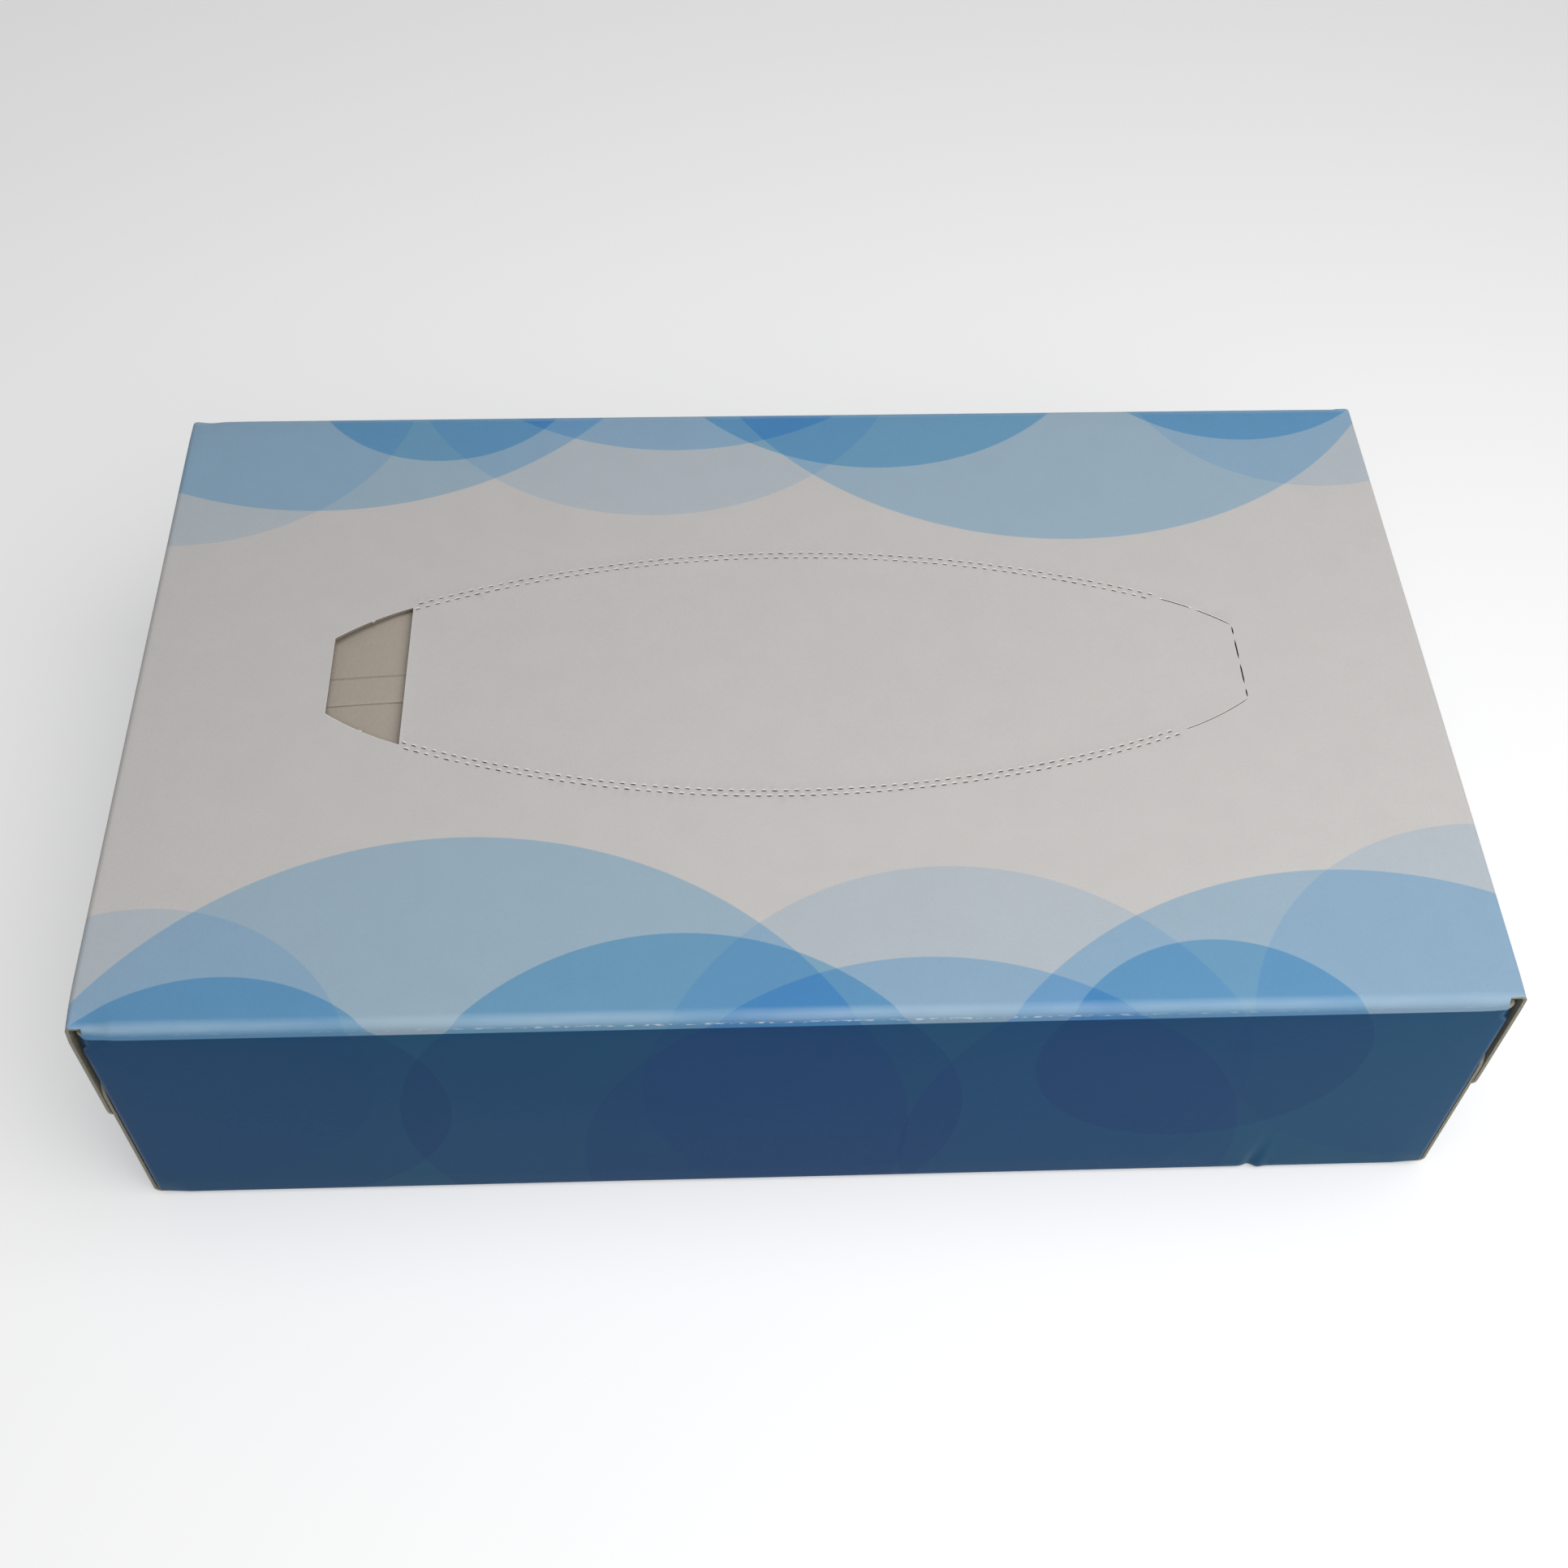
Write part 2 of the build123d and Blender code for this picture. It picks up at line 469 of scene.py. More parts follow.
def slitRows():
    count = int(2 * math.asin(carton["tearHalfLength"] / tearRadius) * tearRadius / carton["slitPitch"])
    for side in (-1, 1):
        for row in (-0.5, 0.5):
            distance = tearRadius + row * carton["rowSpacing"]
            for number in range(count):
                along = (number + 0.5 + row / 2 - count / 2) * carton["slitPitch"]
                angle = along / tearRadius
                u = distance * math.sin(angle)
                v = side * (tearCentre + distance * math.cos(angle))
                yield side, Vector((u, v + openingMiddle)), -side * angle


def plainCut(points, width):
    # a narrow closed slot along a line of points, pointed at both ends
    leftSide, rightSide = [], []
    for number in range(1, len(points) - 1):
        way = (points[number + 1] - points[number - 1]).normalized()
        across = Vector((-way.y, way.x)) * width / 2
        leftSide.append(points[number] + across)
        rightSide.append(points[number] - across)
    return [points[0]] + rightSide + [points[-1]] + list(reversed(leftSide))


def trimmed(points, head, tail):
    # a line of points made shorter at its two ends, evenly spaced again
    steps = [0.0]
    for first, second in zip(points, points[1:]):
        steps.append(steps[-1] + (second - first).length)
    places = np.linspace(head, steps[-1] - tail, max(4, int((steps[-1] - head - tail) / 0.8) + 1))
    us = np.interp(places, steps, [p.x for p in points])
    vs = np.interp(places, steps, [p.y for p in points])
    return [Vector((u, v)) for u, v in zip(us, vs)]


def plainCuts():
    # the cuts round the right end, broken by nicks: line, width and how white the far lip is, that white
    # partly cracked coating and partly a painted highlight
    middle = Vector((0, openingMiddle))
    cuts = []
    for side in (-1, 1):
        curve = [p + middle for p in endCurve(1, side, 16)]
        whole = sum((b - a).length for a, b in zip(curve, curve[1:]))
        if side > 0:
            stop = whole / 2 + carton["nick"] / 4
            cuts.append((trimmed(curve, carton["firstCutGap"], stop), carton["backCut"], 1.0))
            cuts.append((trimmed(curve, stop, 0.0), carton["backCut"], 0.8))
        else:
            cuts.append((trimmed(curve, carton["firstCutGap"], 0.0), carton["frontCut"], 0.2))
    reach = carton["openingEndHalf"]
    endU = carton["openingHalfLength"]
    ends = [Vector((endU, v + openingMiddle)) for v in np.linspace(-reach, reach, 31)]
    share = 2 * reach / 3
    cornerRoom = 0.25  # the outer cuts stop short of the corners
    for number in range(4):
        begin = max(0.0, (number - 0.5) * share + carton["nick"] / 2)
        stop = min(2 * reach, (number + 0.5) * share - carton["nick"] / 2)
        head = begin + cornerRoom * (number == 0)
        tail = 2 * reach - stop + cornerRoom * (number == 3)
        cuts.append((trimmed(ends, head, tail), carton["endCut"], 0.0))
    return cuts


def onTop(v):
    return panels["top"][1] < v < panels["top"][1] + panels["top"][2]


def inOpening(u, v):
    # how far inside the tear-out panel's outline a point lies, in mm
    y = abs(v - openingMiddle)
    arcRoom = tearRadius - math.hypot(u, y - tearCentre) if y > 0 else carton["openingHalfWidth"]
    drop = carton["tearEndHalf"] - carton["openingEndHalf"]
    slope = drop / (carton["openingHalfLength"] - carton["tearHalfLength"])
    lineRoom = carton["tearEndHalf"] - slope * (abs(u) - carton["tearHalfLength"]) - y
    lineRoom /= math.hypot(1, slope)
    return min(arcRoom, lineRoom, carton["openingHalfLength"] - abs(u))


def blankMesh():
    # all points and outlines for one triangulation of the whole blank
    points, edges, faces, lifts, wearsAndGlints = [], [], [], [], []

    def addPoint(place, lift=0.0, wearAndGlint=0.0):
        points.append(Vector(place))
        lifts.append(lift)
        wearsAndGlints.append(wearAndGlint)
        return len(points) - 1

    def addLoop(outline, wearAndGlint):
        first = len(points)
        for place, wornAndGlinting in zip(outline, wearAndGlint if isinstance(wearAndGlint, list) else [wearAndGlint] * len(outline)):
            addPoint(place, carton["lipUp"] * (wornAndGlinting > 0.5), wornAndGlinting)
        faces.append(list(range(first, len(points))))

    def addRing(outline):
        # a level line round a cut, so that its lip's rise and whitening stay close to it
        first = len(points)
        for place in outline:
            addPoint(place)
        loop = list(range(first, len(points)))
        edges.extend(zip(loop, loop[1:] + loop[:1]))

    outline = []
    corners = blankOutline()
    for start, stop in zip(corners, corners[1:] + corners[:1]):
        start, stop = Vector(start), Vector(stop)
        count = max(1, round((stop - start).length / (carton["grid"] * 0.75)))
        outline += [start.lerp(stop, n / count) for n in range(count)]
    addLoop(outline, 0.0)
    hole = fingerHole()
    # the finger hole's edge is whitened a little, like the lips: partly wear, partly a painted highlight
    addLoop(hole, 0.2)
    middle = sum(hole, Vector((0, 0))) / len(hole)
    addRing([p + (p - middle).normalized() * 0.3 for p in hole])
    for side, middle, angle in slitRows():
        wobble = noise.noise(Vector((middle.x * 1.7, middle.y, 2)))
        width = carton["slitWidthBack" if side > 0 else "slitWidthFront"]
        rim, ring = slitAt(middle, angle, width, wobble)
        across = Vector((-math.sin(angle), math.cos(angle)))
        for outline, isHole in ((rim, True), (ring, False)):
            first = len(points)
            for place in outline:
                far = (place - middle).dot(across)
                isLip = abs(far) > 0.02 and isHole
                rise = carton["lipUp"] if far > 0 else -carton["lipDown"]
                lift = rise * (1 + 0.5 * wobble) if isLip else 0.0
                # the far lip is whitened, partly as cracked coating and partly as a painted highlight
                addPoint(place, lift, 1.0 if isLip and far > 0 else 0.0)
            loop = list(range(first, len(points)))
            if isHole:
                faces.append(loop)
            else:
                edges.extend(zip(loop, loop[1:] + loop[:1]))
    for cut, width, farWearAndGlint in plainCuts():
        slot = plainCut(cut, width)
        inner = len(cut) - 2
        addLoop(slot, [0.0] * (inner + 2) + [farWearAndGlint] * inner)
        head, tail = (cut[0] - cut[1]).normalized(), (cut[-1] - cut[-2]).normalized()
        longer = [cut[0] + head * carton["cutRing"]] + cut + [cut[-1] + tail * carton["cutRing"]]
        addRing(plainCut(longer, width + 2 * carton["cutRing"]))

    def clear(u, v):
        # no grid point may crowd a slit or a cut
        if onTop(v):
            room = inOpening(u, v)
            if abs(u) < carton["tearHalfLength"] + 1:
                return abs(room) > 1.15
            return abs(room) > 0.6
        return True

    rows = []
    for name, begin, length, _, _ in path:
        count = carton["bendSteps"] if name == "bend" else max(2, round(length / carton["grid"]))
        rows += [begin + length * n / count for n in range(count)]
    rows.append(blankHeight)
    columns = list(np.linspace(-sleeveHalf, sleeveHalf, round(2 * sleeveHalf / carton["grid"]) + 1))
    holeEdge = -carton["tearHalfLength"]
    for v in rows[1:-1]:
        for u in columns[1:-1]:
            inHole = u < holeEdge + 0.6 and inOpening(u, v) > -0.6 and onTop(v)
            if clear(u, v) and not inHole:
                addPoint((u, v))
    # rows beside the arcs, so that the step at the slits has its own mesh
    for side in (-1, 1):
        for offset in (-2.4, -1.1, 1.1, 2.4):
            distance = tearRadius + offset
            reach = math.asin(carton["tearHalfLength"] / tearRadius)
            for angle in np.linspace(-reach, reach, 74):
                v = side * (tearCentre + distance * math.cos(angle)) + openingMiddle
                addPoint((distance * math.sin(angle), v))
    # flaps: closely spaced columns over each end fold
    for name, (low, high) in flapSpans.items():
        lead, reach = flapLead[name], flapReach[name]
        offsets = [lead + foldRun * n / carton["bendSteps"] for n in range(carton["bendSteps"] + 1)]
        if lead > 0.4:
            offsets.append(lead / 2)
        steps = round((reach - lead - foldRun) / carton["grid"])
        offsets += [lead + foldRun + (reach - lead - foldRun) * n / steps for n in range(1, steps)]
        rowCount = round((high - low) / carton["grid"])
        for v in [low + (high - low) * n / rowCount for n in range(1, rowCount)]:
            for offset in offsets:
                fromTip = reach - offset
                if fromTip < carton["flapCorner"] and min(v - low, high - v) < carton["flapCorner"]:
                    continue
                for end in (-1, 1):
                    addPoint((end * (sleeveHalf + offset), v))
        for end in (-1, 1):  # the fold's rows run out to the flap's two sides
            for offset in offsets[:-1]:
                for v in (low, high):
                    if reach - offset > carton["flapCorner"] + 0.5:
                        addPoint((end * (sleeveHalf + offset), v))
    # a fine patch over the pinched edge
    for u in np.arange(carton["dentPlace"] - 4, carton["dentPlace"] + 5, 0.45):
        for z in np.arange(-1.2, 14, 0.7):
            addPoint((u, blankFrontZ(carton["longFold"]) + z))
    # and over the knocked corners
    for cornerU in (-sleeveHalf, sleeveHalf):
        for cornerV in (blankY(-halfDepth) + 1.0, blankY(halfDepth) - 1.0):
            for du in np.arange(0.5, 6, 0.8):
                for dv in np.arange(-5, 5.1, 0.8):
                    addPoint((cornerU - math.copysign(du, cornerU), cornerV + dv))

    found = delaunay_2d_cdt(points, edges, faces, 0, 1e-4, True)
    flat, tris, source, owners = found[0], found[2], found[3], found[5]
    kept = [tri for tri, own in zip(tris, owners) if own == [0]]
    flatLift = [max((lifts[i] for i in ids), key=abs) if ids else 0.0 for ids in source]
    flatWearAndGlint = [max(wearsAndGlints[i] for i in ids) if ids else 0.0 for ids in source]
    return flat, kept, flatLift, flatWearAndGlint


def buildCarton():
    flat, tris, lifts, wearsAndGlints = blankMesh()
    used = sorted({i for tri in tris for i in tri})
    number = {old: new for new, old in enumerate(used)}
    count = len(used)
    outer, inner, place, wearAndGlint = [], [], [], []
    topStart = panels["top"][1]
    for old in used:
        u, v = flat[old]
        lift = lifts[old]
        if onTop(v):
            lift -= carton["panelSag"] * min(1.0, max(0.0, inOpening(u, v) / 3.0))
        outer.append(folded(u, v, lift + half) * mm)
        inner.append(folded(u, v, lift - half) * mm)
        place.append((u, v - topStart, 0.0))
        wearAndGlint.append(wearsAndGlints[old])
    faces, kinds, edgeUse = [], [], {}
    for tri in tris:
        a, b, c = (number[i] for i in tri)
        faces.append((a, b, c))
        kinds.append(0)
        faces.append((c + count, b + count, a + count))
        kinds.append(1)
        for pair in ((a, b), (b, c), (c, a)):
            edgeUse[pair] = True
    rims = [pair for pair in edgeUse if (pair[1], pair[0]) not in edgeUse]
    for a, b in rims:
        faces.append((a, a + count, b + count, b))
        kinds.append(2)
    mesh = bpy.data.meshes.new("cartonBoard")
    mesh.from_pydata(outer + inner, [], faces)
    mesh.polygons.foreach_set("material_index", kinds)
    mesh.polygons.foreach_set("use_smooth", [True] * len(faces))
    sharp = {frozenset(pair) for pair in rims} | {frozenset((a + count, b + count)) for a, b in rims}
    mesh.edges.foreach_set("use_edge_sharp", [frozenset(edge.vertices) in sharp for edge in mesh.edges])
    blankPlace = mesh.attributes.new("blankPlace", "FLOAT_VECTOR", "POINT")
    blankPlace.data.foreach_set("vector", np.array(place * 2, dtype=np.float32).ravel())
    wornAndGlinting = mesh.attributes.new("wearAndGlint", "FLOAT", "POINT")
    wornAndGlinting.data.foreach_set("value", np.array(wearAndGlint * 2, dtype=np.float32))
    mesh.update()
    piece = bpy.data.objects.new("foldedCarton", mesh)
    bpy.context.scene.collection.objects.link(piece)
    print("carton", len(mesh.vertices), "points", len(faces), "faces")
    return piece


# the print: overlapping see-through discs, in mm on the blank
printing = {
    "white": (0.655, 0.635, 0.62),
    "panelInk": (0.021, 0.172, 0.325),  # tint over the whole of the front and back
    "onPanel": 0.7,  # how strongly the discs show over that ink
    "pale": (0.80, 0.91, 1.01),
    "mid": (0.58, 0.80, 0.99),
    "deep": (0.46, 0.74, 0.93),
    "edgeSoft": 0.09,
    "rubAndHighlight": 0.55,  # how strongly the folds are lightened: partly worn ink, partly a painted highlight
    # the pale blue of the folds: partly worn ink, partly a painted highlight
    "rubAndHighlightColour": (0.50, 0.66, 0.80),
    "rubAndHighlightReach": 0.62,  # as a share of the fold's run, like the next four
    "frontEdge": 1.5,  # the dark ink of the front starts this far past the top's edge
    "backEdge": 0.93,
    "crestPlace": 0.95,  # the line of painted highlight flecks
    "inkEdge": 0.05,
    # painted highlight flecks along the fold's crest
    "fleck": (0.92, 0.94, 0.95),
    "lipWhiteAndGlint": (0.93, 0.91, 0.88),  # white of the far lips: partly cracked coating, partly a painted highlight
    # u, v from the fold at the front of the top, radius, ink
    "discs": [
        (-50, -36, 67, "mid"),
        (22, -22, 46, "pale"),
        (-18, -30, 43, "deep"),
        (80, -42, 64, "mid"),
        (60, -15, 25, "deep"),
        (-96, -14, 33, "pale"),
        (104, -10, 40, "pale"),
        (-84, -24, 31, "deep"),
        (18, -44, 52, "mid"),
    ],
}


def printedMaterial():
    material, shader = newMaterial("printedBoard")
    tree = material.node_tree
    nodes = tree.nodes
    blank = nodes.new("ShaderNodeAttribute")
    blank.attribute_name = "blankPlace"
    parts = nodes.new("ShaderNodeSeparateXYZ")
    tree.links.new(blank.outputs["Vector"], parts.inputs[0])
    along, up = parts.outputs[0], parts.outputs[1]
    topLength = panels["top"][2]
    soft = printing["edgeSoft"]

    place = placeInMm(tree)
    fibre = noiseAt(tree, place, 0.35, 4.0, 0.65)
    cloud = noiseAt(tree, place, 5.5, 3.0)
    grainy = spread(tree, fibre, 0.3, 0.7, 0.965, 1.02)
    shade = maths(tree, "ADD", grainy, spread(tree, cloud, 0.3, 0.7, -0.012, 0.012))
    mapped = nodes.new("ShaderNodeCombineColor")
    for socket in mapped.inputs[:3]:
        tree.links.new(shade, socket)
    colour = mixColours(tree, "MULTIPLY", 1.0, printing["white"], mapped.outputs[0])

    bend = bendRadius * math.pi / 2
    frontLow = -panels["front"][2] - 2 * bend
    edge, softly = bend * printing["frontEdge"], bend * printing["inkEdge"]
    belowTop = spread(tree, up, -edge - softly, -edge + softly, 1, 0)
    isFront = maths(tree, "MULTIPLY", belowTop, spread(tree, up, frontLow, frontLow + 0.4, 0, 1))
    edge = topLength + bend * printing["backEdge"]
    isBack = spread(tree, up, edge - softly, edge + softly, 0, 1)
    offSleeve = spread(tree, maths(tree, "ABSOLUTE", along), sleeveHalf + 0.6, sleeveHalf + 0.8, 0, 1)
    onLowFlap = maths(tree, "MULTIPLY", spread(tree, up, frontLow, frontLow + 0.2, 1, 0), offSleeve)
    inked = maths(tree, "MAXIMUM", maths(tree, "MAXIMUM", isFront, isBack), onLowFlap)
    discStrength = spread(tree, inked, 0, 1, 1.0, printing["onPanel"])

    # the same discs rise from the front fold and, turned about, from the back fold
    for turned in (False, True):
        for u, v, radius, ink in printing["discs"]:
            centre = (-u, topLength - v, 0) if turned else (u, v, 0)
            reach = nodes.new("ShaderNodeVectorMath")
            reach.operation = "DISTANCE"
            tree.links.new(blank.outputs["Vector"], reach.inputs[0])
            reach.inputs[1].default_value = centre
            inside = spread(tree, reach.outputs["Value"], radius - soft, radius + soft, 1, 0)
            strength = maths(tree, "MULTIPLY", inside, discStrength)
            colour = mixColours(tree, "MULTIPLY", strength, colour, printing[ink])

    # flat ink over the front, the back and the lower end flaps
    colour = mixColours(tree, "MULTIPLY", inked, colour, printing["panelInk"])

    # the ink is paler along the long folds, partly rubbed thin and partly a painted highlight, with
    # painted highlight flecks in it
    rubAndHighlight = None
    for foldMiddle in (-bend / 2, topLength + bend / 2):
        away = maths(tree, "ABSOLUTE", maths(tree, "SUBTRACT", up, foldMiddle))
        near = spread(tree, away, 0.25, bend * printing["rubAndHighlightReach"], 1, 0)
        rubAndHighlight = near if rubAndHighlight is None else maths(tree, "MAXIMUM", rubAndHighlight, near)
    drawnOut = stretched(tree, place, (0.35, 1.0, 1.0))
    patchy = spread(tree, noiseAt(tree, drawnOut, 9.0, 3.0), 0.35, 0.65, 0.35, 1.0)
    rubAndHighlightMix = maths(tree, "MULTIPLY", maths(tree, "MULTIPLY", rubAndHighlight, patchy), printing["rubAndHighlight"])
    colour = mixColours(tree, "MIX", rubAndHighlightMix, colour, printing["rubAndHighlightColour"])
    # white flecks of painted highlight along the fold's crest, fewest towards the box's ends
    fleck = spread(tree, noiseAt(tree, drawnOut, 0.5, 2.0), 0.50, 0.60, 0, 1)
    offCrest = maths(tree, "ABSOLUTE", maths(tree, "ADD", up, bend * printing["crestPlace"]))
    crest = spread(tree, offCrest, 0.06, 0.24, 1, 0)
    glintNearMiddle = spread(tree, maths(tree, "ABSOLUTE", along), 25, 70, 1.0, 0.12)
    fleck = maths(tree, "MULTIPLY", maths(tree, "MULTIPLY", fleck, crest), glintNearMiddle)
    colour = mixColours(tree, "MIX", maths(tree, "MULTIPLY", fleck, 0.8), colour, printing["fleck"])

    # the far lips of slits and cuts turn white: partly cracked coating, partly a painted highlight
    wornAndGlinting = nodes.new("ShaderNodeAttribute")
    wornAndGlinting.attribute_name = "wearAndGlint"
    ragged = maths(tree, "MULTIPLY", wornAndGlinting.outputs["Fac"], spread(tree, fibre, 0.35, 0.6, 0.7, 1.0))
    colour = mixColours(tree, "MIX", spread(tree, ragged, 0.06, 0.24, 0, 1), colour, printing["lipWhiteAndGlint"])
    tree.links.new(colour, shader.inputs["Base Color"])

    tree.links.new(spread(tree, fibre, 0.3, 0.75, 0.28, 0.46), shader.inputs["Roughness"])
    grain = noiseAt(tree, place, 0.22, 2.0, 0.6)
    height = maths(tree, "ADD", maths(tree, "MULTIPLY", grain, 0.7), noiseAt(tree, place, 1.6, 2.0))
    tree.links.new(bumped(tree, height, 0.02), shader.inputs["Normal"])
    shader.inputs["Specular IOR Level"].default_value = 0.06
    return material


def greyBoardMaterial():
    # the unprinted side: recycled fibre, with flecks
    material, shader = newMaterial("greyBoard")
    tree = material.node_tree
    place = placeInMm(tree)
    fibre = noiseAt(tree, place, 0.5, 5.0, 0.7)
    fleck = spread(tree, noiseAt(tree, place, 0.28, 1.0), 0.70, 0.76, 0, 1)
    pulp = spread(tree, fibre, 0.3, 0.7, 0, 1)
    base = mixColours(tree, "MIX", pulp, (0.30, 0.27, 0.20), (0.40, 0.36, 0.28))
    colour = mixColours(tree, "MIX", maths(tree, "MULTIPLY", fleck, 0.6), base, (0.16, 0.15, 0.15))
    tree.links.new(colour, shader.inputs["Base Color"])
    tree.links.new(spread(tree, fibre, 0.3, 0.7, 0.85, 0.95), shader.inputs["Roughness"])
    tree.links.new(bumped(tree, fibre, 0.06), shader.inputs["Normal"])
    shader.inputs["Specular IOR Level"].default_value = 0.25
    return material


def cutEdgeMaterial():
    # the sheared edge, with the board's plies running along it
    material, shader = newMaterial("cutEdge")
    tree = material.node_tree
    place = placeInMm(tree)
    plies = noiseAt(tree, place, 0.12, 3.0, 0.6)
    sides = alongX(tree, place)
    onFlap = spread(tree, maths(tree, "ABSOLUTE", sides), sleeveHalf - 1.5, sleeveHalf, 0, 1)
    streak = spread(tree, plies, 0.3, 0.7, 0, 1)
    # edges in the slits and the finger hole are darker and browner than on the flaps: partly the board's
    # core, partly painted shade
    shadedInSlit = mixColours(tree, "MIX", streak, (0.25, 0.20, 0.175), (0.38, 0.32, 0.28))
    onFlapEdge = mixColours(tree, "MIX", streak, (0.27, 0.25, 0.19), (0.46, 0.43, 0.34))
    colour = mixColours(tree, "MIX", onFlap, shadedInSlit, onFlapEdge)
    tree.links.new(colour, shader.inputs["Base Color"])
    shader.inputs["Roughness"].default_value = 0.92
    tree.links.new(bumped(tree, plies, 0.08), shader.inputs["Normal"])
    return material


cartonPiece = buildCarton()
for make in (printedMaterial, greyBoardMaterial, cutEdgeMaterial):
    cartonPiece.data.materials.append(make())
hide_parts("carton")
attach(cartonPiece, "root")
print("carton folded and printed")


# the tissues
tissues = {
    "layer": 0.55,  # what one folded tissue adds to the pack's sides
    "sideWander": 0.35,
    "cell": 3.0,
    "edge": 1.5,
    "sheet": 0.13,
    "hemDepth": 5.7,
    "hemHeight": 0.30,
    "hemShift": 0.9,  # the sheet lies this far back of its place, but for its back edge
    "droop": 1.7,  # the pack sinks towards its two ends
    "droopFrom": 61.0,
    "fineFrom": -80.0,  # the finger hole's stretch gets a finer mesh
    "fineTo": -56.0,
    "stackTint": (0.50, 0.44, 0.375),
    "sheetTint": (0.50, 0.445, 0.375),
    "crepe": 0.025,
}


def tissueMaterial(name, tint):
    material, shader = newMaterial(name)
    tree = material.node_tree
    place = placeInMm(tree)
    crepe = noiseAt(tree, stretched(tree, place, (1.3, 0.8, 1.0)), 0.7, 3.0, 0.6)
    fibre = noiseAt(tree, place, 0.3, 4.0, 0.7)
    shadeOf = maths(tree, "ADD", maths(tree, "MULTIPLY", crepe, 0.6), maths(tree, "MULTIPLY", fibre, 0.4))
    dark = tuple(c * 0.93 for c in tint)
    colour = mixColours(tree, "MIX", spread(tree, shadeOf, 0.35, 0.65, 0, 1), dark, tint)
    tree.links.new(colour, shader.inputs["Base Color"])
    shader.inputs["Roughness"].default_value = 0.95
    shader.inputs["Specular IOR Level"].default_value = 0.15
    shader.inputs["Sheen Weight"].default_value = 0.15
    shader.inputs["Sheen Roughness"].default_value = 0.6
    tree.links.new(bumped(tree, shadeOf, 0.10), shader.inputs["Normal"])
    return material


def droop(x):
    return tissues["droop"] * smooth((abs(x) - tissues["droopFrom"]) / 24)


def packLoops():
    # a block of folded tissues as loops along its length, with the layers' edges wandering
    low, high = packLow, packHigh
    edge = tissues["edge"]
    xs = np.arange(low.x, high.x + 0.01, tissues["cell"])
    xs[-1] = high.x
    layers = int((high.z - low.z - 2 * edge) / tissues["layer"])
    ring = []  # y, z and which way it may wander
    for corner, begin in (((1, 1), 90), ((1, -1), 0), ((-1, -1), -90), ((-1, 1), -180)):
        centre = Vector((corner[0] * (high.y - edge), high.z - edge if corner[1] > 0 else low.z + edge))
        for step in range(5):
            angle = math.radians(begin - step * 22.5)
            ring.append((centre.x + edge * math.cos(angle), centre.y + edge * math.sin(angle), 0.0, 0))
        if corner == (1, 1) or corner == (-1, -1):
            side = corner[0]
            zs = np.linspace(high.z - edge, low.z + edge, layers * 2 + 1)[1:-1]
            if side < 0:
                zs = zs[::-1]
            for number, z in enumerate(zs):
                ring.append((side * high.y, z, 1.0 if number % 2 else 0.35, side))
        else:
            top = corner[1] > 0
            ys = np.linspace(high.y - edge, -high.y + edge, round(2 * high.y / tissues["cell"]))[1:-1]
            if top:
                ys = ys[::-1]
            for y in ys:
                ring.append((y, high.z if top else low.z, 0.0, 0))
    rows = []
    for x in xs:
        row = []
        for y, z, wander, side in ring:
            uneven = noise.noise(Vector((x / 30, z * 1.3, side * 5))) - 0.55
            push = wander * tissues["sideWander"] * uneven
            row.append((x, y + side * push, z - droop(x) * ((z - low.z) / (high.z - low.z)) ** 2))
        rows.append(row)
    return rows


def newPiece(name, points, faces):
    mesh = bpy.data.meshes.new(name)
    mesh.from_pydata([p * mm for p in points], [], faces)
    mesh.polygons.foreach_set("use_smooth", [True] * len(faces))
    piece = bpy.data.objects.new(name, mesh)
    bpy.context.scene.collection.objects.link(piece)
    return piece


def closedTube(rows, name):
    # a skin over rows of loops, its two ends closed by smaller loops towards the middle
    points = [Vector(p) for row in rows for p in row]
    n = len(rows[0])
    faces = []
    for r in range(len(rows) - 1):
        for c in range(n):
            d = (c + 1) % n
            faces.append((r * n + c, r * n + d, (r + 1) * n + d, (r + 1) * n + c))
    for r, flip in ((0, False), (len(rows) - 1, True)):
        centre = sum((points[r * n + c] for c in range(n)), Vector()) / n
        previous = [r * n + c for c in range(n)]
        for share in (0.97, 0.8, 0.5, 0.2):
            base = len(points)
            for c in range(n):
                edgePoint = points[r * n + c]
                spot = centre.lerp(edgePoint, share)
                rough = noise.noise(Vector((0, spot.y / 9, spot.z * 1.6))) - 0.6
                spot.x = edgePoint.x + (0.15 if flip else -0.15) * rough * (share < 0.97)
                points.append(spot)
            current = list(range(base, base + n))
            for c in range(n):
                d = (c + 1) % n
                quad = (previous[d], previous[c], current[c], current[d])
                faces.append(quad if not flip else quad[::-1])
            previous = current
        points.append(centre)
        middle = len(points) - 1
        for c in range(n):
            d = (c + 1) % n
            tri = (previous[d], previous[c], middle)
            faces.append(tri if not flip else tri[::-1])
    return newPiece(name, points, faces)


